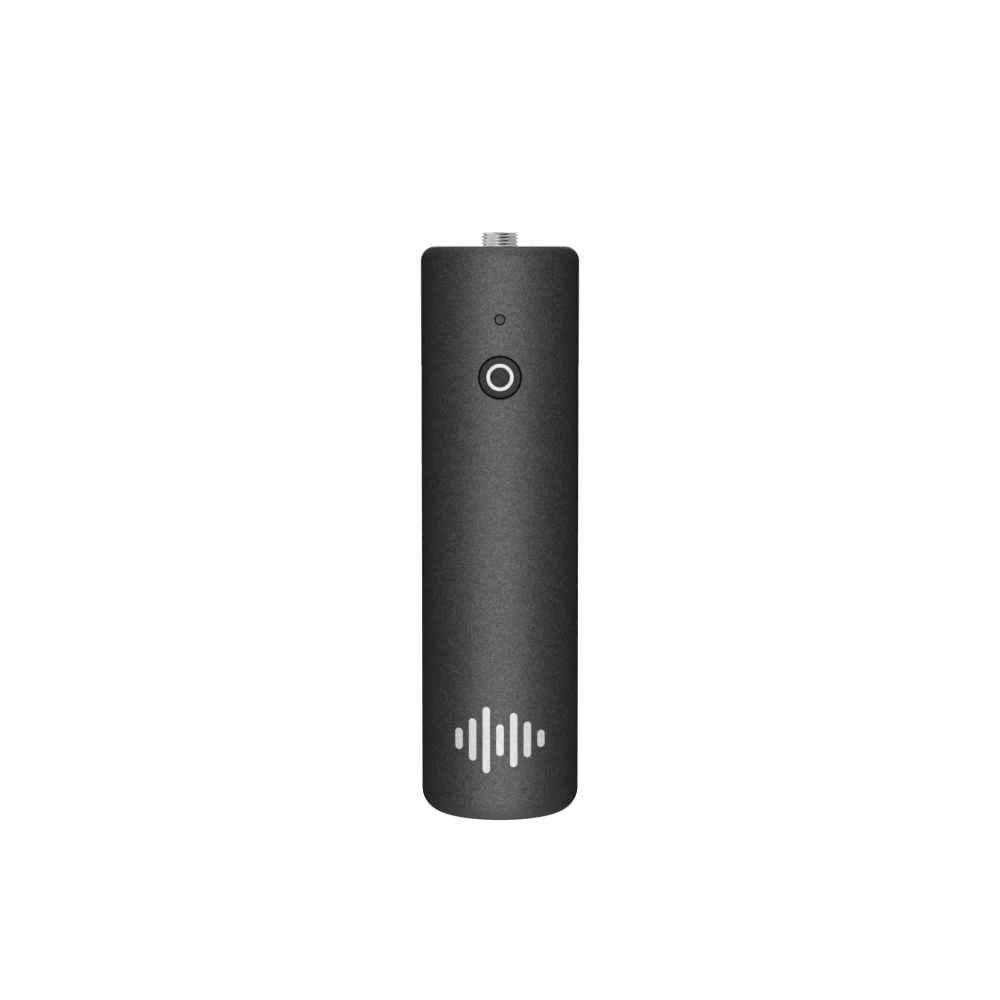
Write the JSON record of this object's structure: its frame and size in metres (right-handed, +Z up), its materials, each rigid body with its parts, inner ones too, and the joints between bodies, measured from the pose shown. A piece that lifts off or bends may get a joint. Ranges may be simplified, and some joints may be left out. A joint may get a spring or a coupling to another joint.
{
  "type": "wireless bodypack transmitter",
  "caption": "Slim round-tube wireless bodypack transmitter with a threaded 3.5 mm microphone jack on top, a round power button, a status light and a charging port in its base.",
  "frame": {"origin": "centre of the base, on the surface the transmitter stands on", "axes": "+Z up along the tube's axis, out of the jack; the button and the status light face -Y; +X to the right of that face"},
  "size_m": [0.024, 0.024, 0.0885],
  "materials": {
    "housing": "fine metallic anthracite texture",
    "top_plate": "fine matt black texture",
    "seal_rubber": "matt black rubber",
    "nickel": "satin nickel plating over turned brass",
    "jack_plastic": "black moulded plastic",
    "gold_contact": "thin gold plating",
    "chassis": "dark grey moulded plastic, fine spark texture",
    "cell_wrap": "blue shrink sleeve over the can, satin",
    "foam": "closed-cell foam, matt",
    "circuit_board": "green solder mask, satin",
    "nickel_strap": "rolled nickel strip",
    "wire_red": "silicone wire insulation",
    "wire_black": "silicone wire insulation",
    "board_screw": "zinc-plated steel",
    "shield_tin": "tin-plated sheet steel",
    "chip_epoxy": "black moulded epoxy",
    "ceramic": "fired ceramic with tinned ends",
    "antenna_ceramic": "white fired ceramic",
    "led_lens": "clear epoxy over a pale die",
    "light_pipe": "smoked clear acrylic",
    "switch": "black nylon",
    "switch_plunger": "off-white nylon",
    "button": "satin black plastic",
    "button_ring": "translucent white plastic, satin",
    "silicone": "grey silicone",
    "flex_circuit": "amber polyimide film",
    "port_steel": "nickel-plated folded steel",
    "port_plastic": "black moulded plastic",
    "base_screw": "black-oxide steel",
    "mark_ink": "pale grey printing ink",
    "label_film": "blank black polyester label"
  },
  "bodies": {
    "housing": {"housing_sleeve": "housing", "top_plate": "top_plate", "top_seal_ring": "seal_rubber", "jack_bushing": "nickel", "jack_ring_nut": "nickel", "jack_body": "jack_plastic", "jack_contacts": "gold_contact", "chassis": "chassis", "battery_cell": "cell_wrap", "battery_foam": "foam", "battery_protection_board": "circuit_board", "battery_strap": "nickel_strap", "battery_lead_positive": "wire_red", "battery_lead_negative": "wire_black", "main_board": "circuit_board", "board_screws": "board_screw", "radio_shield": "shield_tin", "chips": "chip_epoxy", "passives": "ceramic", "antenna": "antenna_ceramic", "status_led": "led_lens", "light_pipe": "light_pipe", "tact_switch": "switch", "charge_board": "circuit_board", "charge_chips": "chip_epoxy", "charge_flex": "flex_circuit", "usb_shell": "port_steel", "usb_tongue": "port_plastic", "usb_contacts": "gold_contact", "usb_gasket": "seal_rubber", "base_screws": "base_screw", "front_mark": "mark_ink", "rear_label": "label_film"},
    "button": {"button_cap": "button", "button_ring": "button_ring", "button_pad": "silicone"},
    "plunger": {"switch_plunger": "switch_plunger"}
  },
  "joints": [
    {"name": "button_press", "type": "slide", "parent": "housing", "child": "button", "axis": [0, 1, 0], "range_m": [0, 0.0003], "stiffness_N_per_m": 3000, "springref_m": -0.0001},
    {"name": "plunger_press", "type": "slide", "parent": "housing", "child": "plunger", "axis": [0, 1, 0], "range_m": [0, 0.0003]}
  ],
  "couplings": [
    {"joint": "plunger_press", "follows": "button_press", "ratio": 1}
  ]
}
